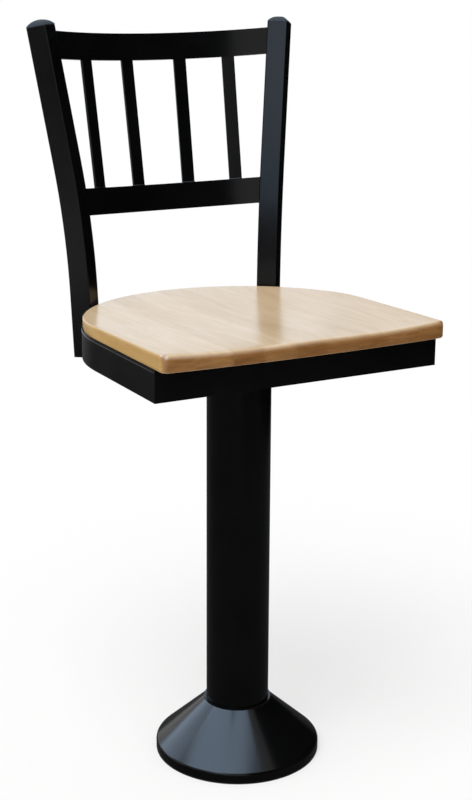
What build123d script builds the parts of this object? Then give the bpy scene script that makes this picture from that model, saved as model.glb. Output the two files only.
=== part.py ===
# Floor-mounted counter stool: a fixed column carries a swivelling wood seat with a slatted back.
# Millimetres. The origin is on the floor, on the column's axis; +Z is up and the seat faces -Y.
import os
from math import asin, atan2, cos, degrees, pi, radians, sin, sqrt, tan

from build123d import *

os.makedirs("parts", exist_ok=True)

# Pedestal
COLUMN_OD = 101.6
COLUMN_WALL = 3.2
FLANGE_OD = 220.0
FLANGE_THICK = 9.5
ANCHOR_PCD = 180.0
ANCHOR_HOLE_D = 14.0
ANCHOR_COUNT = 4
TOP_PLATE_SIDE = 150.0
TOP_PLATE_THICK = 6.0
TOP_PLATE_CORNER = 12.0
HEAD_ROOM = 6.0

# Base cover
COVER_OD = 268.4
COVER_HEIGHT = 91.2
COVER_NECK_WALL = 3.4
COVER_NECK_HEIGHT = 3.0
COVER_LIP = 16.2
COVER_LIP_ROUND = 6.0
COVER_WALL = 1.5
COVER_SLIP = 0.4

# Swivel
SWIVEL_THICK = 6.0
SWIVEL_GAP = 3.0
RACE_D = 110.0
BALL_D = 8.0
BALL_COUNT = 18
BALL_FIT = 0.05
CAGE_WIDTH = 14.0
CAGE_THICK = 1.2
CAGE_FIT = 0.2
LOWER_SCREW_SPACING = 116.0
UPPER_PLATE_DEPTH = 150.0
UPPER_BOLT_SPACING = 110.0
UPPER_BOLT_MARGIN = 18.0

# Fasteners: shank, across flats, head height, nut height
KING_D = 16.0
KING_AF = 24.0
KING_HEAD = 10.0
KING_NUT = 13.0
KING_WASHER_D = 34.0
KING_WASHER_THICK = 3.0
KING_FIT = 0.05
M8_D = 8.0
M8_AF = 13.0
M8_HEAD = 5.3
M8_NUT = 6.5
M8_SUNK_D = 16.0
M8_SUNK_DEPTH = 4.4
HOLE_ROOM = 0.5
THREAD_FIT = 0.05
END_LENGTH = 2.5
WOOD_SCREW_D = 4.8
WOOD_SCREW_HEAD_D = 9.0
WOOD_SCREW_HEAD = 2.6
WOOD_SCREW_BITE = 11.0

# Seat frame
APRON_WIDTH = 472.6
APRON_BACK_INSET = 5.6
APRON_FRONT = 188.3
APRON_ROUND_Y = 18.8
APRON_TOP = 711.4
APRON_HEIGHT = 44.1
APRON_WALL = 3.0
APRON_LEDGE = 32.0
LEDGE_THICK = 6.35
LEDGE_RISE = 3.35
RAIL_TUBE = 25.4
RAIL_TUBE_WALL = 1.6
RAIL_SPACING = 210.0
SIDE_SCREW_Y = -40.0
BACK_SCREW_ANGLE = 45.0
FRONT_SCREW_MARGIN = 32.0
APRON_EDGE = 1.0

# Wood seat
SEAT_INSET = 0.3
SEAT_BACK_INSET = 9.6
SEAT_OVERHANG = 24.7
SEAT_BOW = 8.5
SEAT_CORNER = 12.0
SEAT_THICK = 25.85
SEAT_BACK_DROP = 11.5
SEAT_DISH = 5.5
SEAT_FRONT_DIP = 4.0
SEAT_LEG_SCOOP = 1.0
SEAT_TOP_ROUND = 4.5
SEAT_BOTTOM_ROUND = 3.5
SEAT_GRID = 17
SEAT_GRID_MARGIN = 20.0

# Back
POST_SIDE = 34.2
POST_WALL = 2.0
POST_CORNER = 2.0
POST_ANGLE = 42.17
POST_FOOT = 642.6
POST_BEND_Z = 745.8
POST_BEND_RADIUS = 1462.5
POST_FOOT_LEAN = 2.63
POST_LEAN = 10.77
POST_TOP = 1159.2
CAP_RIM = 0.8
CAP_DOME = 9.8
PLUG_FLANGE = 1.5
PLUG_DEPTH = 12.0
PLUG_FIT = 0.2
BACK_RAIL_HEIGHT = 43.0
BACK_RAIL_THICK = 6.4
BACK_RAIL_RECESS = 2.7
BACK_RAIL_TILT = 9.61
CREST_DROP = 27.8
CREST_RADIUS = 363.7
BACK_RAIL_SPACING = 242.9
LOWER_RAIL_RADIUS = 321.8
SLAT_WIDTH = 21.4
SLAT_THICK = 4.8
SLAT_EDGE = 0.8
SLAT_CREST_INNER = 48.3
SLAT_CREST_OUTER = 131.4
SLAT_LOWER_INNER = 45.45
SLAT_LOWER_OUTER = 126.8

# Heights that follow, from the seat frame down to the column
apron_half = APRON_WIDTH / 2
apron_back = apron_half - APRON_BACK_INSET
apron_bottom = APRON_TOP - APRON_HEIGHT
ledge_top = APRON_TOP + LEDGE_RISE
ledge_bottom = ledge_top - LEDGE_THICK
tube_bottom = ledge_bottom - RAIL_TUBE
upper_bottom = tube_bottom - SWIVEL_THICK
lower_top = upper_bottom - SWIVEL_GAP
lower_bottom = lower_top - SWIVEL_THICK
column_top = lower_bottom - TOP_PLATE_THICK
race_z = (upper_bottom + lower_top) / 2
tube_x = RAIL_SPACING / 2
upper_plate_width = RAIL_SPACING + 2 * UPPER_BOLT_MARGIN
m8_hole = M8_D / 2 + HOLE_ROOM
king_bore = KING_D / 2 + KING_FIT
washer_bottom = tube_bottom + KING_FIT
upper_bolt_spots = [
    (x, y) for x in (-tube_x, tube_x) for y in (-UPPER_BOLT_SPACING / 2, UPPER_BOLT_SPACING / 2)
]
lower_screw_spots = [
    (x * LOWER_SCREW_SPACING / 2, y * LOWER_SCREW_SPACING / 2) for x in (-1, 1) for y in (-1, 1)
]


def write(piece, name):
    piece.part.label = name
    export_step(piece.part, f"parts/{name}.step")


def hexagon_prism(spots, z, height, across_flats):
    # Hexagons of one size, raised from height z at each spot.
    with BuildSketch(Plane.XY.offset(z)) as hexagons:
        with Locations(*spots):
            RegularPolygon(across_flats / 2, 6, major_radius=False)
    extrude(hexagons.sketch, amount=height)


def round_bars(spots, z, height, diameter, mode=Mode.ADD):
    # Upright round bars or holes of one size, from height z at each spot.
    with BuildSketch(Plane.XY.offset(z)) as circles:
        with Locations(*spots):
            Circle(diameter / 2)
    extrude(circles.sketch, amount=height, mode=mode)


# Floor flange, column and its top plate
with BuildPart() as floor_flange:
    Cylinder(FLANGE_OD / 2, FLANGE_THICK, align=(Align.CENTER, Align.CENTER, Align.MIN))
    with PolarLocations(ANCHOR_PCD / 2, ANCHOR_COUNT, start_angle=180 / ANCHOR_COUNT):
        Hole(ANCHOR_HOLE_D / 2)
write(floor_flange, "floor_flange")

with BuildPart() as column_tube:
    with BuildSketch(Plane.XY.offset(FLANGE_THICK)):
        Circle(COLUMN_OD / 2)
        Circle(COLUMN_OD / 2 - COLUMN_WALL, mode=Mode.SUBTRACT)
    extrude(amount=column_top - FLANGE_THICK)
write(column_tube, "column_tube")

with BuildPart() as column_top_plate:
    with BuildSketch(Plane.XY.offset(column_top)):
        RectangleRounded(TOP_PLATE_SIDE, TOP_PLATE_SIDE, TOP_PLATE_CORNER)
        Circle(KING_AF / 2 + HEAD_ROOM, mode=Mode.SUBTRACT)
    extrude(amount=TOP_PLATE_THICK)
    round_bars(lower_screw_spots, column_top, TOP_PLATE_THICK, 2 * m8_hole, Mode.SUBTRACT)
write(column_top_plate, "column_top_plate")

# Base cover: a thin spun cone with an upright lip below and a neck round the column
cover_r = COVER_OD / 2
neck_bore = COLUMN_OD / 2 + COVER_SLIP
neck_r = neck_bore + COVER_NECK_WALL
neck_z = COVER_HEIGHT - COVER_NECK_HEIGHT
cone_angle = atan2(neck_z - COVER_LIP, cover_r - neck_r)
wall_drop = COVER_WALL / cos(cone_angle)


def cone_inside(r):
    # Height of the cone's inner face at radius r.
    return COVER_LIP + (cover_r - r) * tan(cone_angle) - wall_drop


with BuildPart() as base_cover:
    with BuildSketch(Plane.XZ):
        with BuildLine():
            Polyline(
                (cover_r, 0),
                (cover_r, COVER_LIP),
                (neck_r, neck_z),
                (neck_r, COVER_HEIGHT),
                (neck_bore, COVER_HEIGHT),
                (neck_bore, cone_inside(neck_bore)),
                (cover_r - COVER_WALL, cone_inside(cover_r - COVER_WALL)),
                (cover_r - COVER_WALL, 0),
                close=True,
            )
        make_face()
    revolve(axis=Axis.Z)
    lip_edge = base_cover.edges().filter_by(GeomType.CIRCLE).filter_by(
        lambda edge: abs(edge.radius - cover_r) < THREAD_FIT and edge.center().Z > COVER_LIP / 2
    )
    fillet(lip_edge, COVER_LIP_ROUND)
write(base_cover, "base_cover")

# Swivel: two plates with a ball race between them, held together by the king bolt
with BuildPart() as swivel_lower_plate:
    with BuildSketch(Plane.XY.offset(lower_bottom)):
        RectangleRounded(TOP_PLATE_SIDE, TOP_PLATE_SIDE, TOP_PLATE_CORNER)
        Circle(king_bore, mode=Mode.SUBTRACT)
    extrude(amount=SWIVEL_THICK)
    with Locations((0, 0, race_z)):
        Torus(RACE_D / 2, BALL_D / 2 + BALL_FIT, mode=Mode.SUBTRACT)
    with Locations(*[(x, y, lower_top) for x, y in lower_screw_spots]):
        Cone(
            M8_D / 2 + HOLE_ROOM,
            M8_SUNK_D / 2,
            M8_SUNK_DEPTH,
            align=(Align.CENTER, Align.CENTER, Align.MAX),
            mode=Mode.SUBTRACT,
        )
    round_bars(lower_screw_spots, lower_bottom, SWIVEL_THICK, 2 * m8_hole, Mode.SUBTRACT)
write(swivel_lower_plate, "swivel_lower_plate")

with BuildPart() as swivel_lower_screws:
    with Locations(*[(x, y, lower_top) for x, y in lower_screw_spots]):
        Cone(
            M8_D / 2 + HOLE_ROOM,
            M8_SUNK_D / 2,
            M8_SUNK_DEPTH,
            align=(Align.CENTER, Align.CENTER, Align.MAX),
        )
    lower_screw_end = column_top - M8_NUT - END_LENGTH
    round_bars(lower_screw_spots, lower_screw_end, lower_top - M8_SUNK_DEPTH - lower_screw_end, M8_D)
write(swivel_lower_screws, "swivel_lower_screws")

with BuildPart() as swivel_lower_nuts:
    hexagon_prism(lower_screw_spots, column_top - M8_NUT, M8_NUT, M8_AF)
    round_bars(lower_screw_spots, column_top - M8_NUT, M8_NUT, M8_D + 2 * THREAD_FIT, Mode.SUBTRACT)
write(swivel_lower_nuts, "swivel_lower_nuts")

with BuildPart() as swivel_ball_cage:
    with BuildSketch(Plane.XY.offset(race_z - CAGE_THICK / 2)):
        Circle((RACE_D + CAGE_WIDTH) / 2)
        Circle((RACE_D - CAGE_WIDTH) / 2, mode=Mode.SUBTRACT)
        with PolarLocations(RACE_D / 2, BALL_COUNT):
            Circle(BALL_D / 2 + CAGE_FIT, mode=Mode.SUBTRACT)
    extrude(amount=CAGE_THICK)
write(swivel_ball_cage, "swivel_ball_cage")

with BuildPart() as swivel_balls:
    with Locations((0, 0, race_z)):
        with PolarLocations(RACE_D / 2, BALL_COUNT):
            Sphere(BALL_D / 2)
write(swivel_balls, "swivel_balls")

with BuildPart() as swivel_upper_plate:
    with BuildSketch(Plane.XY.offset(upper_bottom)):
        RectangleRounded(upper_plate_width, UPPER_PLATE_DEPTH, TOP_PLATE_CORNER)
        Circle(king_bore, mode=Mode.SUBTRACT)
    extrude(amount=SWIVEL_THICK)
    with Locations((0, 0, race_z)):
        Torus(RACE_D / 2, BALL_D / 2 + BALL_FIT, mode=Mode.SUBTRACT)
    round_bars(upper_bolt_spots, upper_bottom, SWIVEL_THICK, 2 * m8_hole, Mode.SUBTRACT)
write(swivel_upper_plate, "swivel_upper_plate")

king_top = washer_bottom + KING_WASHER_THICK + KING_NUT + END_LENGTH
with BuildPart() as king_bolt:
    hexagon_prism([(0, 0)], lower_bottom - KING_HEAD, KING_HEAD, KING_AF)
    round_bars([(0, 0)], lower_bottom, king_top - lower_bottom, KING_D)
write(king_bolt, "king_bolt")

with BuildPart() as king_washer:
    round_bars([(0, 0)], washer_bottom, KING_WASHER_THICK, KING_WASHER_D)
    round_bars([(0, 0)], washer_bottom, KING_WASHER_THICK, 2 * king_bore, Mode.SUBTRACT)
write(king_washer, "king_washer")

with BuildPart() as king_nut:
    hexagon_prism([(0, 0)], washer_bottom + KING_WASHER_THICK, KING_NUT, KING_AF)
    round_bars(
        [(0, 0)], washer_bottom + KING_WASHER_THICK, KING_NUT, KING_D + 2 * THREAD_FIT, Mode.SUBTRACT
    )
write(king_nut, "king_nut")

weld_nut_bottom = tube_bottom + RAIL_TUBE_WALL
with BuildPart() as swivel_upper_bolts:
    hexagon_prism(upper_bolt_spots, upper_bottom - M8_HEAD, M8_HEAD, M8_AF)
    round_bars(upper_bolt_spots, upper_bottom, weld_nut_bottom + M8_NUT + END_LENGTH - upper_bottom, M8_D)
write(swivel_upper_bolts, "swivel_upper_bolts")

with BuildPart() as swivel_weld_nuts:
    hexagon_prism(upper_bolt_spots, weld_nut_bottom, M8_NUT, M8_AF)
    round_bars(upper_bolt_spots, weld_nut_bottom, M8_NUT, M8_D + 2 * THREAD_FIT, Mode.SUBTRACT)
write(swivel_weld_nuts, "swivel_weld_nuts")

# Seat frame: a band bent to a U with a flat ledge inside it, closed by a taller rail across the front
screw_reach = apron_half - (APRON_LEDGE + APRON_WALL) / 2
back_screw_reach = screw_reach - APRON_BACK_INSET
back_screw_turn = radians(BACK_SCREW_ANGLE)
front_screw_x = tube_x + RAIL_TUBE / 2 + FRONT_SCREW_MARGIN
front_screw_spots = [(x * front_screw_x, (APRON_LEDGE + APRON_WALL) / 2 - APRON_FRONT) for x in (-1, 1)]
band_screw_spots = [(x * screw_reach, SIDE_SCREW_Y) for x in (-1, 1)] + [
    (x * screw_reach * sin(back_screw_turn), APRON_ROUND_Y + back_screw_reach * cos(back_screw_turn))
    for x in (-1, 1)
]
seat_screw_spots = front_screw_spots + band_screw_spots
screw_hole = WOOD_SCREW_D + 2 * HOLE_ROOM


def u_shape(half_width, front_y):
    # Plan of the seat frame: straight sides from front_y, half an oval at the back.
    with BuildSketch() as plan:
        with Locations((0, APRON_ROUND_Y)):
            Ellipse(half_width, half_width - APRON_BACK_INSET)
            Rectangle(2 * half_width, half_width, align=(Align.CENTER, Align.MAX), mode=Mode.SUBTRACT)
            Rectangle(2 * half_width, APRON_ROUND_Y - front_y, align=(Align.CENTER, Align.MAX))
    return plan.sketch


with BuildPart() as apron_band:
    with BuildSketch(Plane.XY.offset(apron_bottom)):
        add(u_shape(apron_half, APRON_WALL - APRON_FRONT))
        add(u_shape(apron_half - APRON_WALL, APRON_WALL - APRON_FRONT), mode=Mode.SUBTRACT)
    extrude(amount=APRON_HEIGHT)
    with BuildSketch(Plane.XY.offset(ledge_bottom)):
        add(u_shape(apron_half - APRON_WALL, APRON_WALL - APRON_FRONT))
        add(u_shape(apron_half - APRON_LEDGE, APRON_WALL - APRON_FRONT), mode=Mode.SUBTRACT)
    extrude(amount=LEDGE_THICK)
    rim_edges = apron_band.edges().filter_by_position(Axis.Z, APRON_TOP - APRON_EDGE, APRON_TOP + APRON_EDGE)
    rim_round = pi * (apron_half + apron_back - APRON_WALL) / 2
    outer_edges = rim_edges.filter_by(
        lambda edge: edge.length > APRON_FRONT / 2 and abs(edge.center().X) > apron_half - APRON_WALL / 2
        or edge.geom_type == GeomType.ELLIPSE and edge.length > rim_round
    )
    fillet(outer_edges, APRON_EDGE)
    round_bars(band_screw_spots, ledge_bottom, LEDGE_THICK, screw_hole, Mode.SUBTRACT)
write(apron_band, "apron_band")

with BuildPart() as apron_front_rail:
    with Locations((0, -APRON_FRONT, apron_bottom)):
        Box(
            APRON_WIDTH,
            APRON_WALL,
            ledge_top - apron_bottom,
            align=(Align.CENTER, Align.MIN, Align.MIN),
        )
    with Locations((0, APRON_WALL - APRON_FRONT, ledge_bottom)):
        Box(
            APRON_WIDTH - 2 * APRON_LEDGE,
            APRON_LEDGE - APRON_WALL,
            LEDGE_THICK,
            align=(Align.CENTER, Align.MIN, Align.MIN),
        )
    fillet(apron_front_rail.edges().group_by(Axis.Z)[-1].sort_by(Axis.Y)[0], APRON_EDGE)
    round_bars(front_screw_spots, ledge_bottom, LEDGE_THICK, screw_hole, Mode.SUBTRACT)
write(apron_front_rail, "apron_front_rail")


def support_rail(x):
    # Square tube from the front rail to the round back, under the ledge.
    with BuildPart() as rail:
        with BuildSketch(Plane.XZ.offset(APRON_FRONT)):
            with Locations((x, tube_bottom + RAIL_TUBE / 2)):
                Rectangle(RAIL_TUBE, RAIL_TUBE)
                inside = RAIL_TUBE - 2 * RAIL_TUBE_WALL
                Rectangle(inside, inside, mode=Mode.SUBTRACT)
        extrude(amount=-(APRON_FRONT + APRON_ROUND_Y + apron_half))
        with BuildSketch(Plane.XY.offset(tube_bottom)):
            add(u_shape(apron_half - APRON_WALL, APRON_WALL - APRON_FRONT))
        extrude(amount=RAIL_TUBE, mode=Mode.INTERSECT)
        spots = [spot for spot in upper_bolt_spots if spot[0] == x]
        round_bars(spots, tube_bottom, RAIL_TUBE_WALL, 2 * m8_hole, Mode.SUBTRACT)
    return rail


write(support_rail(-tube_x), "support_rail_left")
write(support_rail(tube_x), "support_rail_right")

# Wood seat: half-oval back, bowed front, top hollowed like a saddle
seat_half = apron_half - SEAT_INSET
seat_back_depth = apron_back - SEAT_BACK_INSET
seat_corner_y = -(APRON_FRONT + SEAT_OVERHANG)
seat_front = seat_corner_y - SEAT_BOW
seat_back = APRON_ROUND_Y + seat_back_depth
seat_top = ledge_top + SEAT_THICK


def top_height(x, y):
    # Falls gently to the back, with a wide dish, a lower front and two shallow leg scoops beside a ridge.
    across = x / seat_half
    along = (y - seat_front) / (seat_back - seat_front)
    fall = SEAT_BACK_DROP * along
    dish = SEAT_DISH * sin(pi * along) ** 2 * (1 - across**2)
    dip = SEAT_FRONT_DIP * (1 - along) ** 2 * (1 - across**4)
    scoops = SEAT_LEG_SCOOP * (1 - along) ** 2 * sin(pi * across) ** 2
    return seat_top - fall - dish - dip - scoops


def spread(low, high):
    # Evenly spaced places from one end to the other.
    return [low + (high - low) * step / (SEAT_GRID - 1) for step in range(SEAT_GRID)]


grid_x = spread(-seat_half - SEAT_GRID_MARGIN, seat_half + SEAT_GRID_MARGIN)
grid_y = spread(seat_front - SEAT_GRID_MARGIN, seat_back + SEAT_GRID_MARGIN)
saddle = Face.make_surface_from_array_of_points(
    [[Vector(x, y, top_height(x, y)) for x in grid_x] for y in grid_y]
)

with BuildPart() as wood_seat:
    with BuildSketch(Plane.XY.offset(ledge_top)) as seat_plan:
        with BuildLine():
            ThreePointArc((-seat_half, seat_corner_y), (0, seat_front), (seat_half, seat_corner_y))
            Line((seat_half, seat_corner_y), (seat_half, APRON_ROUND_Y))
            EllipticalCenterArc((0, APRON_ROUND_Y), seat_half, seat_back_depth, arc_size=180)
            Line((-seat_half, APRON_ROUND_Y), (-seat_half, seat_corner_y))
        make_face()
        fillet(seat_plan.vertices().group_by(Axis.Y)[0], SEAT_CORNER)
    extrude(amount=2 * SEAT_THICK)
    extrude(saddle, amount=2 * SEAT_THICK, dir=(0, 0, 1), mode=Mode.SUBTRACT)
    fillet(wood_seat.faces().sort_by(Axis.Z)[-1].edges(), SEAT_TOP_ROUND)
    fillet(wood_seat.faces().sort_by(Axis.Z)[0].edges(), SEAT_BOTTOM_ROUND)
    round_bars(
        seat_screw_spots, ledge_top, WOOD_SCREW_BITE, WOOD_SCREW_D + 2 * THREAD_FIT, Mode.SUBTRACT
    )
write(wood_seat, "wood_seat")

with BuildPart() as seat_screws:
    round_bars(seat_screw_spots, ledge_bottom - WOOD_SCREW_HEAD, WOOD_SCREW_HEAD, WOOD_SCREW_HEAD_D)
    round_bars(seat_screw_spots, ledge_bottom, LEDGE_THICK + WOOD_SCREW_BITE, WOOD_SCREW_D)
write(seat_screws, "seat_screws")

# Back posts: square tube against the round of the apron, leaning outwards and bent further out above
post_turn = radians(POST_ANGLE)
foot_lean = radians(POST_FOOT_LEAN)
lean = radians(POST_LEAN)
apron_reach = sqrt((apron_half * sin(post_turn)) ** 2 + (apron_back * cos(post_turn)) ** 2)
post_reach = apron_reach + POST_SIDE / 2 / cos(foot_lean)
bend_top = POST_BEND_Z + POST_BEND_RADIUS * (sin(lean) - sin(foot_lean))
tube_foot = POST_FOOT + PLUG_FLANGE * cos(foot_lean)
post_inside = POST_SIDE - 2 * POST_WALL


def post_out(z):
    # How far the post's middle stands out at height z, from where it meets the apron's bottom edge.
    if z <= POST_BEND_Z:
        return (z - apron_bottom) * tan(foot_lean)
    bend_start = (POST_BEND_Z - apron_bottom) * tan(foot_lean)
    if z <= bend_top:
        slope = asin(sin(foot_lean) + (z - POST_BEND_Z) / POST_BEND_RADIUS)
        return bend_start + POST_BEND_RADIUS * (cos(foot_lean) - cos(slope))
    return bend_start + POST_BEND_RADIUS * (cos(foot_lean) - cos(lean)) + (z - bend_top) * tan(lean)


def outward(side):
    # Plan direction from the seat to the post, side -1 left and 1 right.
    return Vector(side * sin(post_turn), cos(post_turn), 0)


def post_point(side, z):
    # Middle of the post at height z.
    plan = outward(side) * (post_reach + post_out(z))
    return Vector(plan.X, APRON_ROUND_Y + plan.Y, z)


def post_section(side, z, slope):
    # Plane square across the post at height z, where it leans out by the slope.
    out = outward(side)
    up = Vector(0, 0, 1)
    return Plane(
        post_point(side, z),
        x_dir=out * cos(slope) - up * sin(slope),
        z_dir=out * sin(slope) + up * cos(slope),
    )


def post_bar(side, hollow=True):
    # The bent post, or its full outline to trim the rails with.
    out = outward(side)
    foot = post_point(side, tube_foot)
    mid_bend = (POST_BEND_Z + bend_top) / 2
    heights = (tube_foot, POST_BEND_Z, mid_bend, bend_top, POST_TOP)
    start, bend_start, bend_mid, bend_end, top = [
        (post_out(z) - post_out(tube_foot), z - tube_foot) for z in heights
    ]
    with BuildPart() as post:
        with BuildLine(Plane(foot, x_dir=out, z_dir=out.cross(Vector(0, 0, 1)))):
            Line(start, bend_start)
            ThreePointArc(bend_start, bend_mid, bend_end)
            Line(bend_end, top)
        with BuildSketch(post_section(side, tube_foot, foot_lean)):
            RectangleRounded(POST_SIDE, POST_SIDE, POST_CORNER)
            if hollow:
                Rectangle(post_inside, post_inside, mode=Mode.SUBTRACT)
        sweep()
    return post


def post_cap(side):
    # Domed cap on the post's top end, rising from its four edges, with a stub inside the tube.
    end = post_section(side, POST_TOP, lean)
    dome_radius = ((POST_SIDE / 2) ** 2 + CAP_DOME**2) / (2 * CAP_DOME)
    with BuildPart() as cap:
        with BuildSketch(end):
            RectangleRounded(POST_SIDE, POST_SIDE, POST_CORNER)
        extrude(amount=CAP_RIM + CAP_DOME)
        with Locations(end.offset(CAP_RIM + CAP_DOME - dome_radius)):
            Cylinder(dome_radius, 2 * POST_SIDE, rotation=(90, 0, 0), mode=Mode.INTERSECT)
            Cylinder(dome_radius, 2 * POST_SIDE, rotation=(0, 90, 0), mode=Mode.INTERSECT)
        with BuildSketch(end):
            Rectangle(post_inside - 2 * PLUG_FIT, post_inside - 2 * PLUG_FIT)
        extrude(amount=-PLUG_DEPTH)
    return cap


def post_plug(side):
    # Flat plug in the post's foot.
    end = post_section(side, tube_foot, foot_lean)
    with BuildPart() as plug:
        with BuildSketch(end):
            RectangleRounded(POST_SIDE, POST_SIDE, POST_CORNER)
        extrude(amount=-PLUG_FLANGE)
        with BuildSketch(end):
            Rectangle(post_inside - 2 * PLUG_FIT, post_inside - 2 * PLUG_FIT)
        extrude(amount=PLUG_DEPTH)
    return plug


for side, hand in ((-1, "left"), (1, "right")):
    write(post_bar(side), f"post_{hand}")
    write(post_cap(side), f"post_cap_{hand}")
    write(post_plug(side), f"post_plug_{hand}")

# Crest rail, lower rail and slats: flat bars on arcs that bow away from the seat
tilt = radians(BACK_RAIL_TILT)
post_outlines = [post_bar(side, hollow=False).part for side in (-1, 1)]


def rail_end(z):
    # Where a rail's front face meets the inner face of the right post.
    across = outward(1)
    reach = post_reach + post_out(z) - POST_SIDE / 2 + BACK_RAIL_RECESS
    inner = POST_SIDE / 2
    return (
        across.X * reach - across.Y * inner,
        APRON_ROUND_Y + across.Y * reach + across.X * inner,
    )


def rail_plane(z, radius):
    # Middle plane of a rail, with its origin at the centre of its arc.
    end_x, end_y = rail_end(z)
    chord = sqrt(radius**2 - end_x**2)
    return Plane(
        (0, end_y - chord * cos(tilt), z + chord * sin(tilt)),
        x_dir=(1, 0, 0),
        z_dir=(0, sin(tilt), cos(tilt)),
    )


def back_rail(z, radius):
    # Bent flat bar whose ends follow the inner faces of the posts.
    plane = rail_plane(z, radius)
    end_x, _ = rail_end(z)
    half_sweep = degrees(asin((end_x + POST_SIDE / 2) / (radius + BACK_RAIL_THICK / 2)))
    with BuildPart() as rail:
        with BuildSketch(plane):
            with BuildLine():
                inner = CenterArc((0, 0), radius, 90 - half_sweep, 2 * half_sweep)
                outer = CenterArc((0, 0), radius + BACK_RAIL_THICK, 90 - half_sweep, 2 * half_sweep)
                Line(inner @ 0, outer @ 0)
                Line(inner @ 1, outer @ 1)
            make_face()
        extrude(amount=BACK_RAIL_HEIGHT / 2, both=True)
        for outline in post_outlines:
            add(outline, mode=Mode.SUBTRACT)
    return rail


def rail_point(plane, radius, along):
    # Middle of a rail's thickness at a length along it from its centre line, and its turn there.
    middle = radius + BACK_RAIL_THICK / 2
    turn = along / middle
    return plane.from_local_coords(Vector(middle * sin(turn), middle * cos(turn), 0)), turn


crest_z = POST_TOP - CREST_DROP
lower_rail_z = crest_z - BACK_RAIL_SPACING
crest_plane = rail_plane(crest_z, CREST_RADIUS)
lower_plane = rail_plane(lower_rail_z, LOWER_RAIL_RADIUS)
crest_underside = crest_plane.offset(-BACK_RAIL_HEIGHT / 2)
lower_topside = lower_plane.offset(BACK_RAIL_HEIGHT / 2)


def slat(crest_along, lower_along):
    # Straight flat bar from the lower rail's top edge to the crest rail's bottom edge.
    bottom, lower_turn = rail_point(lower_plane, LOWER_RAIL_RADIUS, lower_along)
    top, crest_turn = rail_point(crest_plane, CREST_RADIUS, crest_along)
    facing = (crest_turn + lower_turn) / 2
    run = (top - bottom).normalized()
    width = Vector(cos(facing), -sin(facing) * cos(tilt), sin(facing) * sin(tilt))
    with BuildPart() as bar:
        with BuildSketch(Plane(bottom, x_dir=width, z_dir=run)):
            RectangleRounded(SLAT_WIDTH, SLAT_THICK, SLAT_EDGE)
        extrude(amount=(top - bottom).length)
        split(bisect_by=crest_underside, keep=Keep.BOTTOM)
        split(bisect_by=lower_topside, keep=Keep.TOP)
    return bar


write(back_rail(crest_z, CREST_RADIUS), "crest_rail")
write(back_rail(lower_rail_z, LOWER_RAIL_RADIUS), "lower_rail")
slat_places = [
    (-SLAT_CREST_OUTER, -SLAT_LOWER_OUTER),
    (-SLAT_CREST_INNER, -SLAT_LOWER_INNER),
    (SLAT_CREST_INNER, SLAT_LOWER_INNER),
    (SLAT_CREST_OUTER, SLAT_LOWER_OUTER),
]
for number, (crest_along, lower_along) in enumerate(slat_places, start=1):
    write(slat(crest_along, lower_along), f"slat_{number}")
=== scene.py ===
# Looks for the floor-mounted counter stool: finishes, wood board, welds, floor, light and camera.
import math

import bmesh
import bpy
from mathutils import Matrix, Vector

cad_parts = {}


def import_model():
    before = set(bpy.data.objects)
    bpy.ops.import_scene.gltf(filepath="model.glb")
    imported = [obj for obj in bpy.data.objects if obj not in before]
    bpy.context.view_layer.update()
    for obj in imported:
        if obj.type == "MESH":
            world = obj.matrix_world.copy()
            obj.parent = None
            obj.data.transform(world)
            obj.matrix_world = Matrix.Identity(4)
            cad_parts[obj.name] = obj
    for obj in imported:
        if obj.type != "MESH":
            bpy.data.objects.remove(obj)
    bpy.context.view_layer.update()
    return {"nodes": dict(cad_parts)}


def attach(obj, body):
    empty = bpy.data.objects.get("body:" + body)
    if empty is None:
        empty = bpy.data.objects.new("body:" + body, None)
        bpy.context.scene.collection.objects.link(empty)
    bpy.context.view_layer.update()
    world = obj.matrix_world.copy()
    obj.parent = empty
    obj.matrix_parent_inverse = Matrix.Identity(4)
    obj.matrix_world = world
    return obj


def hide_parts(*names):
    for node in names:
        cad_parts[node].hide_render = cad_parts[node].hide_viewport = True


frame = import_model()
nodes = frame["nodes"]

# Camera at the photograph's angle, metres and degrees; lens and sensor in millimetres
CAMERA_PLACE = Vector((-1.12795, -2.04801, 1.24995))
CAMERA_HEADING = -28.844
CAMERA_YAW = -0.112
CAMERA_PITCH = 15.629
CAMERA_ROLL = 0.29
CAMERA_LENS = 69.74
CAMERA_SENSOR = 36.0
CAMERA_CLIP = (0.05, 200.0)


def aim_camera():
    heading, yaw, pitch, roll = [
        math.radians(a) for a in (CAMERA_HEADING, CAMERA_YAW, CAMERA_PITCH, CAMERA_ROLL)
    ]
    up = Vector((0, 0, 1))
    ahead = Vector((-math.sin(heading), math.cos(heading), 0))
    right = Vector((math.cos(heading), math.sin(heading), 0))
    ahead, right = (
        ahead * math.cos(yaw) + right * math.sin(yaw),
        right * math.cos(yaw) - ahead * math.sin(yaw),
    )
    look = ahead * math.cos(pitch) - up * math.sin(pitch)
    tall = up * math.cos(pitch) + ahead * math.sin(pitch)
    right, tall = (
        right * math.cos(roll) + tall * math.sin(roll),
        tall * math.cos(roll) - right * math.sin(roll),
    )
    data = bpy.data.cameras.new("camera")
    data.sensor_width = CAMERA_SENSOR
    data.lens = CAMERA_LENS
    data.clip_start, data.clip_end = CAMERA_CLIP
    camera = bpy.data.objects.new("camera", data)
    turn = Matrix((right, tall, -look)).transposed().to_4x4()
    camera.matrix_world = Matrix.Translation(CAMERA_PLACE) @ turn
    bpy.context.scene.collection.objects.link(camera)
    bpy.context.scene.camera = camera


aim_camera()

# Sockets of the colour Mix node by number, because their names repeat
MIX_FACTOR, MIX_FIRST, MIX_SECOND, MIX_RESULT = 0, 6, 7, 2
# Most of a noise lies between these
NOISE_LOW, NOISE_HIGH = 0.3, 0.7
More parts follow.
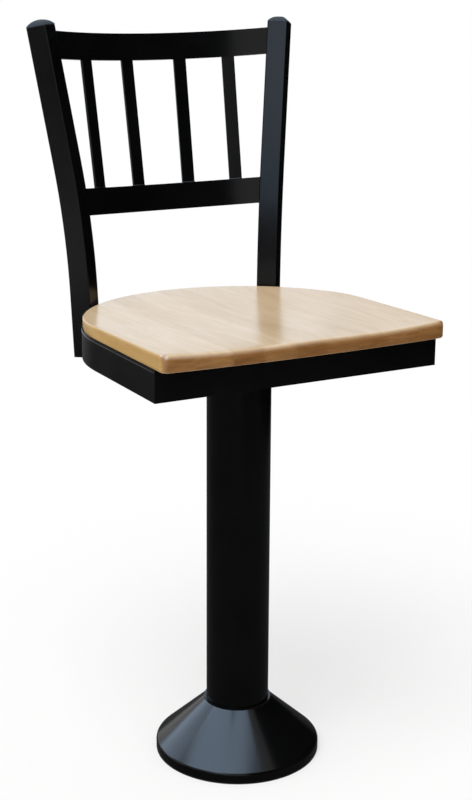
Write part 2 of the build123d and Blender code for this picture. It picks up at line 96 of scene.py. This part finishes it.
# Depth of the fine bump of every finish, metres
BUMP_DEPTH = 0.0002


class Finish:
    # A procedural material and a short way to add and join its nodes.
    def __init__(self, name):
        self.material = bpy.data.materials.new(name)
        self.material.use_nodes = True
        self.tree = self.material.node_tree
        self.shader = self.tree.nodes["Principled BSDF"]
        self.place = self.add("ShaderNodeTexCoord")
        self.where = self.place.outputs["Object"]

    def feed(self, socket, value):
        # A node's output is linked, and anything else is a constant.
        if isinstance(value, bpy.types.NodeSocket):
            self.tree.links.new(value, socket)
        else:
            socket.default_value = value

    def add(self, kind, sockets=None, **settings):
        node = self.tree.nodes.new(kind)
        for key, value in settings.items():
            setattr(node, key, value)
        for key, value in (sockets or {}).items():
            self.feed(node.inputs[key], value)
        return node

    def set(self, **sockets):
        for key, value in sockets.items():
            self.feed(self.shader.inputs[key.replace("_", " ")], value)

    def stretched(self, where, scale):
        return self.add("ShaderNodeMapping", {"Vector": where, "Scale": scale}).outputs["Vector"]

    def noise(self, where, scale, detail=2.0, roughness=0.5, distortion=0.0):
        return self.add(
            "ShaderNodeTexNoise",
            {
                "Vector": where,
                "Scale": scale,
                "Detail": detail,
                "Roughness": roughness,
                "Distortion": distortion,
            },
        ).outputs["Fac"]

    def ramp(self, fac, stops, interpolation="LINEAR"):
        node = self.add("ShaderNodeValToRGB", {"Fac": fac})
        ramp = node.color_ramp
        ramp.interpolation = interpolation
        while len(ramp.elements) < len(stops):
            ramp.elements.new(1.0)
        for element, (position, colour) in zip(ramp.elements, stops):
            element.position = position
            element.color = (*colour, 1.0)
        return node.outputs["Color"]

    def tones(self, noise, dark, light):
        return self.ramp(noise, [(NOISE_LOW, dark), (NOISE_HIGH, light)])

    def span(self, value, low, high, start=0.0, end=1.0, smooth=False):
        return self.add(
            "ShaderNodeMapRange",
            {"Value": value, "From Min": start, "From Max": end, "To Min": low, "To Max": high},
            interpolation_type="SMOOTHSTEP" if smooth else "LINEAR",
        ).outputs["Result"]

    def math(self, operation, first, second=None):
        sockets = {0: first}
        if second is not None:
            sockets[1] = second
        return self.add("ShaderNodeMath", sockets, operation=operation).outputs["Value"]

    def vector(self, operation, first, second):
        return self.add(
            "ShaderNodeVectorMath", {0: first, 1: second}, operation=operation
        ).outputs["Vector"]

    def blend(self, fac, first, second, blend_type="MIX"):
        sockets = {MIX_FACTOR: fac, MIX_FIRST: first, MIX_SECOND: second}
        node = self.add("ShaderNodeMix", sockets, data_type="RGBA", blend_type=blend_type)
        return node.outputs[MIX_RESULT]

    def bump(self, height, strength):
        return self.add(
            "ShaderNodeBump", {"Height": height, "Strength": strength, "Distance": BUMP_DEPTH}
        ).outputs["Normal"]


def black_coat():
    # Satin black powder coat: a fine orange peel over slow clouds of gloss.
    finish = Finish("black_coat")
    cloud = finish.noise(finish.where, scale=11.0, detail=4.0)
    peel = finish.noise(finish.where, scale=900.0)
    finish.set(
        Base_Color=finish.tones(cloud, (0.0016, 0.0017, 0.0019), (0.0028, 0.0029, 0.0032)),
        Roughness=finish.span(cloud, low=0.15, high=0.21, start=NOISE_LOW, end=NOISE_HIGH),
        Specular_IOR_Level=0.2,
        Normal=finish.bump(peel, strength=0.04),
    )
    return finish.material


# Staves of the wood from left to right: each one's start, as a share of twice STAVE_REACH, and tone;
# the tones differ from stave to stave and also hold a painted shade that darkens towards the right
STAVES_AND_SHADE = (
    (0.0, 0.62), (0.125, 0.74), (0.24, 0.30), (0.342, 0.66), (0.44, 0.26),
    (0.544, 0.42), (0.650, 0.34), (0.754, 0.46), (0.864, 0.36),
)
STAVE_REACH = 0.25
STAVE_BLEND = 0.012
STAVE_SHIFT = (0.0, 9.0, 4.0)
STAVE_TINTS = [(0.25, (0.80, 0.72, 0.62)), (0.75, (1.08, 1.10, 1.12))]
STAVE_ON_TOP = 0.30
# Colours of the wood by grain: on the top and bottom, on the sides and on the front and back ends; the
# side and end colours are darker partly from their grain and partly as painted shade
FACE_TONES = [
    (0.32, (0.625, 0.450, 0.258)), (0.52, (0.685, 0.512, 0.325)), (0.70, (0.73, 0.565, 0.382)),
]
SIDE_GRAIN_AND_SHADE_TONES = [(0.34, (0.45, 0.265, 0.080)), (0.66, (0.56, 0.355, 0.135))]
END_GRAIN_AND_SHADE_TONES = [(0.30, (0.190, 0.084, 0.023)), (0.70, (0.285, 0.143, 0.049))]
FIGURE_SHARE = 0.80
FIBRE_SHARE = 0.20


def maple():
    # Clear-coated maple: staves glued side by side, grain along the depth of the seat.
    finish = Finish("maple")
    split = finish.add("ShaderNodeSeparateXYZ", {"Vector": finish.where})
    across = finish.span(split.outputs["X"], 0.0, 1.0, -STAVE_REACH, STAVE_REACH)

    # Each stave has its own part of the grain
    stave = finish.ramp(across, [(at, (tone,) * 3) for at, tone in STAVES_AND_SHADE], "CONSTANT")
    where = finish.vector("ADD", finish.where, finish.vector("MULTIPLY", stave, STAVE_SHIFT))
    figure = finish.noise(
        finish.stretched(where, (1.0, 0.16, 1.0)),
        scale=34.0, detail=5.0, roughness=0.55, distortion=1.4,
    )
    fibre = finish.noise(
        finish.stretched(where, (1.0, 0.025, 1.0)), scale=330.0, detail=3.0, roughness=0.6
    )
    speck = finish.noise(finish.stretched(where, (1.0, 0.06, 1.0)), scale=900.0, detail=1.0)
    rings = finish.noise(
        finish.stretched(where, (0.22, 1.0, 1.5)),
        scale=120.0, detail=4.0, roughness=0.6, distortion=0.8,
    )
    grain = finish.math(
        "ADD",
        finish.math("MULTIPLY", figure, FIGURE_SHARE),
        finish.math("MULTIPLY", fibre, FIBRE_SHARE),
    )

    # Face, edge and end grain, by the way the surface looks; the darker edge and end colours hold
    # painted shade as well as grain
    facing = finish.add("ShaderNodeSeparateXYZ", {"Vector": finish.place.outputs["Normal"]})
    sideways = finish.math("ABSOLUTE", facing.outputs["X"])
    endways = finish.math("ABSOLUTE", facing.outputs["Y"])
    to_side = finish.span(sideways, 0.0, 1.0, start=0.45, end=0.90, smooth=True)
    to_end = finish.span(endways, 0.0, 1.0, start=0.15, end=0.95, smooth=True)
    face = finish.ramp(grain, FACE_TONES)
    edge = finish.ramp(grain, SIDE_GRAIN_AND_SHADE_TONES)
    end = finish.ramp(rings, END_GRAIN_AND_SHADE_TONES)
    colour = finish.blend(to_end, finish.blend(to_side, face, edge), end)

    # Tones from stave to stave, with the painted shade towards the right, faint on the top and full on
    # the end grain
    soft = [(0.0, STAVES_AND_SHADE[0][1])]
    for (_, before), (at, after) in zip(STAVES_AND_SHADE, STAVES_AND_SHADE[1:]):
        soft += [(at - STAVE_BLEND, before), (at + STAVE_BLEND, after)]
    blended = finish.ramp(across, [(at, (tone,) * 3) for at, tone in soft])
    toned = finish.blend(1.0, colour, finish.ramp(blended, STAVE_TINTS), "MULTIPLY")
    finish.set(
        Base_Color=finish.blend(finish.span(to_end, STAVE_ON_TOP, 1.0), colour, toned),
        Roughness=finish.span(grain, low=0.34, high=0.46),
        Specular_IOR_Level=0.0,
        Coat_Weight=0.74,
        Coat_Roughness=0.24,
        Coat_IOR=1.5,
        Normal=finish.bump(speck, strength=0.03),
    )
    return finish.material


def zinc_steel():
    # Bright zinc plate with a soft spangle.
    finish = Finish("zinc_steel")
    spangle = finish.noise(finish.where, scale=260.0, detail=3.0, roughness=0.6)
    haze = finish.noise(finish.where, scale=35.0)
    finish.set(
        Base_Color=finish.tones(haze, (0.50, 0.51, 0.53), (0.62, 0.62, 0.60)),
        Metallic=1.0,
        Roughness=finish.span(spangle, low=0.28, high=0.46),
        Normal=finish.bump(spangle, strength=0.06),
    )
    return finish.material


def bearing_steel():
    # Polished balls with a faint haze.
    finish = Finish("bearing_steel")
    haze = finish.noise(finish.where, scale=180.0)
    finish.set(
        Base_Color=finish.tones(haze, (0.55, 0.55, 0.56), (0.64, 0.64, 0.64)),
        Metallic=1.0,
        Roughness=finish.span(haze, low=0.10, high=0.20),
    )
    return finish.material


def cage_nylon():
    # Natural nylon, moulded with a fine grain.
    finish = Finish("cage_nylon")
    cloud = finish.noise(finish.where, scale=60.0, detail=3.0)
    grain = finish.noise(finish.where, scale=1200.0)
    finish.set(
        Base_Color=finish.tones(cloud, (0.60, 0.57, 0.49), (0.70, 0.68, 0.61)),
        Roughness=finish.span(cloud, low=0.40, high=0.52),
        Normal=finish.bump(grain, strength=0.08),
    )
    return finish.material


def plug_plastic():
    # Moulded black plastic with a fine matt grain.
    finish = Finish("plug_plastic")
    cloud = finish.noise(finish.where, scale=90.0, detail=3.0)
    grain = finish.noise(finish.where, scale=1400.0)
    finish.set(
        Base_Color=finish.tones(cloud, (0.012, 0.0135, 0.0145), (0.019, 0.021, 0.022)),
        Roughness=finish.span(cloud, low=0.46, high=0.56),
        Specular_IOR_Level=0.06,
        Normal=finish.bump(grain, strength=0.10),
    )
    return finish.material


makers = (black_coat, maple, zinc_steel, bearing_steel, cage_nylon, plug_plastic)
finishes = {make.__name__: make() for make in makers}
ZINC = (
    "swivel_lower_plate", "swivel_upper_plate", "swivel_lower_screws", "swivel_lower_nuts",
    "swivel_upper_bolts", "swivel_weld_nuts", "king_bolt", "king_washer", "king_nut", "seat_screws",
)
PLASTIC = ("post_cap_left", "post_cap_right", "post_plug_left", "post_plug_right")
finish_of = {name: "black_coat" for name in nodes}
finish_of.update({name: "zinc_steel" for name in ZINC})
finish_of.update({name: "plug_plastic" for name in PLASTIC})
finish_of.update(swivel_balls="bearing_steel", swivel_ball_cage="cage_nylon", wood_seat="maple")

for name, obj in nodes.items():
    for slot in obj.material_slots:
        slot.material = finishes[finish_of[name]]

# Wood seat, metres: the solid's plan and saddle, with a softer front edge
SEAT_HALF = 0.2360
SEAT_FRONT = -0.2215
SEAT_BOW = 0.0085
SEAT_CORNER = 0.012
SEAT_ROUND_Y = 0.0188
SEAT_BACK_DEPTH = 0.2211
SEAT_TOP = 0.7406
SEAT_BOTTOM = 0.71475
SEAT_DROP = 0.0115
SEAT_DISH = 0.0055
SEAT_DIP = 0.0040
SEAT_SCOOP = 0.0010
SEAT_CENTRE = Vector((0.0, 0.02))
ROUND_FRONT = 0.0118
ROUND_SIDE = 0.0032
ROUND_BOTTOM = 0.0035
# The front's rounding grows as the edge turns from the side to the front
FRONT_STARTS = 0.1
FRONT_GROWS = 0.8
# Steps along the half outline, and up and over the board's section
FRONT_STEPS = 60
CORNER_STEPS = 16
SIDE_STEPS = 36
BACK_STEPS = 90
BOTTOM_STEPS = 5
WALL_STEPS = 5
EDGE_STEPS = 10
TOP_STEPS = 30


def saddle(x, y):
    # Height of the seat's top before its edges are rounded.
    back = SEAT_ROUND_Y + SEAT_BACK_DEPTH
    across = x / SEAT_HALF
    along = (y - SEAT_FRONT) / (back - SEAT_FRONT)
    dish = SEAT_DISH * math.sin(math.pi * along) ** 2 * (1 - across**2)
    dip = SEAT_DIP * (1 - along) ** 2 * (1 - across**4)
    scoops = SEAT_SCOOP * (1 - along) ** 2 * math.sin(math.pi * across) ** 2
    return SEAT_TOP - SEAT_DROP * along - dish - dip - scoops


def seat_outline():
    # Points of the plan with their outward directions, anticlockwise from the front's middle.
    bow = (SEAT_HALF**2 + SEAT_BOW**2) / (2 * SEAT_BOW)
    centre_y = SEAT_FRONT + bow
    corner_x = SEAT_HALF - SEAT_CORNER
    corner_y = centre_y - math.sqrt((bow - SEAT_CORNER) ** 2 - corner_x**2)
    swing = math.atan2(corner_x, centre_y - corner_y)
    half = []
    for step in range(FRONT_STEPS):
        a = swing * step / FRONT_STEPS
        way = Vector((math.sin(a), -math.cos(a)))
        half.append((Vector((0, centre_y)) + way * bow, way))
    for step in range(CORNER_STEPS):
        a = swing + (math.pi / 2 - swing) * step / CORNER_STEPS
        way = Vector((math.sin(a), -math.cos(a)))
        half.append((Vector((corner_x, corner_y)) + way * SEAT_CORNER, way))
    for step in range(SIDE_STEPS):
        y = corner_y + (SEAT_ROUND_Y - corner_y) * step / SIDE_STEPS
        half.append((Vector((SEAT_HALF, y)), Vector((1, 0))))
    for step in range(BACK_STEPS + 1):
        a = math.pi / 2 * step / BACK_STEPS
        spot = Vector((SEAT_HALF * math.cos(a), SEAT_BACK_DEPTH * math.sin(a)))
        way = Vector((spot.x / SEAT_HALF**2, spot.y / SEAT_BACK_DEPTH**2)).normalized()
        half.append((spot + Vector((0, SEAT_ROUND_Y)), way))
    other = [(Vector((-p.x, p.y)), Vector((-w.x, w.y))) for p, w in half[-2:0:-1]]
    return half + other


def seat_ring(outline, inset, height):
    # One closed row of points; inset and height take a point's edge radius and place.
    row = []
    for spot, way in outline:
        front = min(max((-way.y - FRONT_STARTS) / FRONT_GROWS, 0.0), 1.0)
        front = front * front * (3 - 2 * front)
        edge = ROUND_SIDE + (ROUND_FRONT - ROUND_SIDE) * front
        at = spot - way * inset(edge)
        row.append((at.x, at.y, height(edge, at)))
    return row


def seat_rows(outline):
    # Rows of points from the underside, round the edge and in over the top to the middle.
    rows = []
    for step in range(BOTTOM_STEPS + 1):
        a = math.pi / 2 * step / BOTTOM_STEPS
        rows.append(seat_ring(
            outline,
            lambda edge, a=a: ROUND_BOTTOM * (1 - math.sin(a)),
            lambda edge, at, a=a: SEAT_BOTTOM + ROUND_BOTTOM * (1 - math.cos(a)),
        ))
    for step in range(1, WALL_STEPS):
        rise = step / WALL_STEPS
        rows.append(seat_ring(
            outline,
            lambda edge: 0.0,
            lambda edge, at, rise=rise: (SEAT_BOTTOM + ROUND_BOTTOM) * (1 - rise)
            + (saddle(at.x, at.y) - edge) * rise,
        ))
    for step in range(EDGE_STEPS + 1):
        a = math.pi / 2 * step / EDGE_STEPS
        rows.append(seat_ring(
            outline,
            lambda edge, a=a: edge * (1 - math.cos(a)),
            lambda edge, at, a=a: saddle(at.x, at.y) - edge * (1 - math.sin(a)),
        ))
    rim = [Vector(point[:2]) for point in rows[-1]]
    for step in range(1, TOP_STEPS):
        spots = [rim_at.lerp(SEAT_CENTRE, step / TOP_STEPS) for rim_at in rim]
        rows.append([(at.x, at.y, saddle(at.x, at.y)) for at in spots])
    return rows


def wood_piece():
    outline = seat_outline()
    rows = seat_rows(outline)
    count = len(outline)
    points = [point for row in rows for point in row]
    under, over = len(points), len(points) + 1
    points.append((SEAT_CENTRE.x, SEAT_CENTRE.y, SEAT_BOTTOM))
    points.append((SEAT_CENTRE.x, SEAT_CENTRE.y, saddle(SEAT_CENTRE.x, SEAT_CENTRE.y)))
    faces = []
    for level in range(len(rows) - 1):
        for i in range(count):
            j = (i + 1) % count
            low, high = level * count, (level + 1) * count
            faces.append((low + i, low + j, high + j, high + i))
    last = (len(rows) - 1) * count
    for i in range(count):
        j = (i + 1) % count
        faces.append((under, j, i))
        faces.append((over, last + i, last + j))
    mesh = bpy.data.meshes.new("wood_board")
    mesh.from_pydata(points, [], faces)
    mesh.shade_smooth()
    mesh.materials.append(finishes["maple"])
    board = bpy.data.objects.new("wood_board", mesh)
    bpy.context.scene.collection.objects.link(board)
    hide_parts("wood_seat")
    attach(board, "seat")


wood_piece()

# Weld beads at the slats' feet, metres
SLATS = ("slat_1", "slat_2", "slat_3", "slat_4")
BEAD_RADIUS = 0.0014
BEAD_RIPPLE = 0.00018
BEAD_PITCH = 0.0034
BEAD_PAST = 0.0006
BEAD_STEPS = 40
BEAD_SIDES = 12
# A bead keeps its size along most of its length, and ends blunt at a tenth of it
BEAD_TAPER = 6
BEAD_BLUNT = 0.01
# A slat's narrow sides are square to its front, and upright
SQUARE_WITHIN = 0.05
UPRIGHT_WITHIN = 0.5


def slat_foot(mesh):
    # The slat's facing, sideways and upward directions, and where its front face ends below.
    front = max(mesh.polygons, key=lambda face: face.area).normal.copy()
    if front.y > 0:
        front.negate()
    edges = [
        face for face in mesh.polygons
        if abs(face.normal.dot(front)) < SQUARE_WITHIN and abs(face.normal.z) < UPRIGHT_WITHIN
    ]
    side = max(edges, key=lambda face: face.area).normal.copy()
    up = side.cross(front)
    if up.z < 0:
        up.negate()
    places = [vertex.co for vertex in mesh.vertices]
    reach = max(place.dot(front) for place in places)
    ends = [place.dot(side) for place in places]
    foot = min(place.dot(up) for place in places if place.dot(front) > reach - BEAD_RADIUS / 2)
    return front, side, up, reach, min(ends), max(ends), foot


def slat_welds():
    points, faces = [], []
    for name in SLATS:
        front, side, up, reach, start, end, foot = slat_foot(nodes[name].data)
        start, end = start - BEAD_PAST, end + BEAD_PAST
        first = len(points)
        for step in range(BEAD_STEPS + 1):
            share = step / BEAD_STEPS
            at = start + (end - start) * share
            full = math.sqrt(max(1 - abs(2 * share - 1) ** BEAD_TAPER, BEAD_BLUNT))
            ripple = BEAD_RIPPLE * math.sin(2 * math.pi * at / BEAD_PITCH)
            radius = full * (BEAD_RADIUS + ripple)
            middle = front * reach + up * foot + side * at
            for turn in range(BEAD_SIDES):
                a = 2 * math.pi * turn / BEAD_SIDES
                points.append(middle + (front * math.cos(a) + up * math.sin(a)) * radius)
        for step in range(BEAD_STEPS):
            for turn in range(BEAD_SIDES):
                beside = (turn + 1) % BEAD_SIDES
                row, ahead = first + step * BEAD_SIDES, first + (step + 1) * BEAD_SIDES
                faces.append((row + turn, row + beside, ahead + beside, ahead + turn))
        last = first + BEAD_STEPS * BEAD_SIDES
        faces.append(tuple(first + turn for turn in reversed(range(BEAD_SIDES))))
        faces.append(tuple(last + turn for turn in range(BEAD_SIDES)))
    mesh = bpy.data.meshes.new("slat_welds")
    mesh.from_pydata(points, [], faces)
    made = bmesh.new()
    made.from_mesh(mesh)
    bmesh.ops.recalc_face_normals(made, faces=made.faces)
    made.to_mesh(mesh)
    made.free()
    mesh.shade_smooth()
    mesh.materials.append(finishes["black_coat"])
    beads = bpy.data.objects.new("slat_welds", mesh)
    bpy.context.scene.collection.objects.link(beads)
    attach(beads, "seat")


slat_welds()

# Floor, metres: half its width, where its fade to plain white starts and ends, and the share of
# white at the start
FLOOR_HALF = 12.0
FLOOR_NEAR = 0.5
FLOOR_FAR = 1.8
FLOOR_LIFT = 0.5
# Studio panels that only reflections see: shades, how much lighter their clouds are, and edges
# in metres
DARK_SHADE, DARK_RANGE = 0.004, 1.3
GROUND_SHADE = 0.085
LEFT_SHADE = 0.35
PALE_RANGE = 1.15
DARK_RIGHT, DARK_LEFT = 1.7, -0.7
DARK_FRONT, DARK_BACK, DARK_FAR = -2.8, 1.5, 2.5
DARK_TALL, DARK_LOW = 3.4, 1.15
GROUND_HALF, GROUND_LIFT = 3.4, 0.002
LEFT_X, LEFT_FRONT, LEFT_BACK, LEFT_TALL = -6.0, -6.0, 1.5, 3.0
# Roughness of the floor and panels
MATT = 0.9


def seen_rays(tree):
    # One where the ray comes from the camera, a reflection or a clear surface.
    path = tree.nodes.new("ShaderNodeLightPath")
    value = path.outputs["Is Camera Ray"]
    for name in ("Is Glossy Ray", "Is Transmission Ray"):
        either = tree.nodes.new("ShaderNodeMath")
        either.operation = "MAXIMUM"
        tree.links.new(value, either.inputs[0])
        tree.links.new(path.outputs[name], either.inputs[1])
        value = either.outputs["Value"]
    return value


def sheet(name, corners, material):
    mesh = bpy.data.meshes.new(name)
    mesh.from_pydata(corners, [], [(0, 1, 2, 3)])
    mesh.materials.append(material)
    obj = bpy.data.objects.new(name, mesh)
    bpy.context.scene.collection.objects.link(obj)
    return obj


def square(half, z):
    return [(-half, -half, z), (half, -half, z), (half, half, z), (-half, half, z)]


def matt_finish(name, noise_scale, dark, light):
    finish = Finish(name)
    cloud = finish.noise(finish.where, scale=noise_scale)
    finish.set(
        Base_Color=finish.tones(cloud, (dark,) * 3, (light,) * 3),
        Roughness=MATT,
        Specular_IOR_Level=0.0,
    )
    return finish


def floor():
    # Pale and matt near the stool, fading with distance to a plain white.
    finish = matt_finish("floor", noise_scale=3.0, dark=0.945, light=0.955)
    reach = finish.add(
        "ShaderNodeVectorMath", {0: finish.where}, operation="LENGTH"
    ).outputs["Value"]
    far = finish.span(reach, FLOOR_LIFT, 1.0, FLOOR_NEAR, FLOOR_FAR, smooth=True)
    far = finish.math("MULTIPLY", far, seen_rays(finish.tree))
    white = finish.add("ShaderNodeEmission")
    mixed = finish.add(
        "ShaderNodeMixShader", {0: far, 1: finish.shader.outputs[0], 2: white.outputs[0]}
    )
    output = finish.tree.nodes["Material Output"]
    finish.tree.links.new(mixed.outputs[0], output.inputs["Surface"])
    sheet("floor", square(FLOOR_HALF, 0), finish.material)


floor()


def panel_material(name, shade, variation):
    return matt_finish(name, noise_scale=2.0, dark=shade, light=shade * variation).material


def upright(start, end, height):
    # Corners of an upright panel between two points of the floor.
    return [(*start, 0), (*end, 0), (*end, height), (*start, height)]


def panels():
    # Painted reflections: dark panels at the right and front, a grey ground and a pale wall at the
    # left, seen only in reflections.
    dark = panel_material("panel", DARK_SHADE, DARK_RANGE)
    ground = panel_material("ground", GROUND_SHADE, PALE_RANGE)
    pale = panel_material("panel_side", LEFT_SHADE, PALE_RANGE)
    right_front = (DARK_RIGHT, DARK_FRONT)
    right_back = (DARK_RIGHT, DARK_BACK)
    right_far = (DARK_RIGHT, DARK_FAR)
    left_front = (DARK_LEFT, DARK_FRONT)
    wall = upright((LEFT_X, LEFT_FRONT), (LEFT_X, LEFT_BACK), LEFT_TALL)
    for panel in (
        sheet("panel_right", upright(right_front, right_back, DARK_TALL), dark),
        sheet("panel_low", upright(right_back, right_far, DARK_LOW), dark),
        sheet("panel_front", upright(left_front, right_front, DARK_TALL), dark),
        sheet("panel_ground", square(GROUND_HALF, GROUND_LIFT), ground),
        sheet("panel_left", wall, pale),
    ):
        panel.visible_camera = False
        panel.visible_diffuse = False
        panel.visible_transmission = False
        panel.visible_shadow = False


def gloss_light(name, place, aim, size, level, colour):
    # A lamp that shows only in gloss. The level is its own brightness, where one is white.
    data = bpy.data.lights.new(name, "AREA")
    data.shape = "RECTANGLE"
    data.size, data.size_y = size
    data.energy = level * math.pi * size[0] * size[1]
    data.color = colour
    light = bpy.data.objects.new(name, data)
    light.location = place
    light.rotation_euler = (Vector(aim) - Vector(place)).to_track_quat("-Z", "Y").to_euler()
    light.visible_camera = False
    light.visible_diffuse = False
    bpy.context.scene.collection.objects.link(light)
    return light


def sun(level, heading, height, spread):
    # The soft key light, which doesn't show in gloss; angles in degrees.
    data = bpy.data.lights.new("sun", "SUN")
    data.energy = level * math.pi
    data.angle = math.radians(spread)
    light = bpy.data.objects.new("sun", data)
    az, el = math.radians(heading), math.radians(height)
    away = Vector((math.sin(az) * math.cos(el), -math.cos(az) * math.cos(el), math.sin(el)))
    light.rotation_euler = (-away).to_track_quat("-Z", "Y").to_euler()
    light.visible_glossy = False
    light.visible_camera = False
    bpy.context.scene.collection.objects.link(light)


def world(light, seen):
    # White, with one strength for the light it gives and one for how it looks.
    made = bpy.data.worlds.new("world")
    bpy.context.scene.world = made
    made.use_nodes = True
    tree = made.node_tree
    back = tree.nodes["Background"]
    level = tree.nodes.new("ShaderNodeMapRange")
    level.inputs["To Min"].default_value = light
    level.inputs["To Max"].default_value = seen
    tree.links.new(seen_rays(tree), level.inputs["Value"])
    tree.links.new(level.outputs["Result"], back.inputs["Strength"])
    back.inputs["Color"].default_value = (1, 1, 1, 1)


COOL = (0.54, 0.74, 1.0)
BLUE = (0.2, 0.60, 1.0)
world(light=0.55, seen=1.0)
panels()
sun(level=0.60, heading=-50.0, height=58.0, spread=45.0)
gloss_light(
    "overhead", place=(-1.02, 0.3, 3.0), aim=(-1.02, 0.3, 0.0), size=(3.3, 3.6), level=9.0, colour=COOL
)
# This lamp is for the base cover alone, because on the wood it would glare
cone_light = gloss_light(
    "back_left", place=(-1.23, 2.22, 1.6), aim=(0, 0, 0.1), size=(1.95, 1.7), level=4.6, colour=COOL
)
cone_only = bpy.data.collections.new("cone_only")
cone_only.objects.link(nodes["base_cover"])
cone_light.light_linking.receiver_collection = cone_only
gloss_light(
    "front_left", place=(-3.0, -2.4, 2.0), aim=(0, 0, 0.8), size=(1.6, 1.6), level=2.4, colour=COOL
)
gloss_light(
    "back", place=(2.0, 3.4, 2.0), aim=(0, 0, 0.74), size=(3.6, 2.6), level=0.6, colour=BLUE
)
bpy.context.scene.view_settings.view_transform = "Standard"
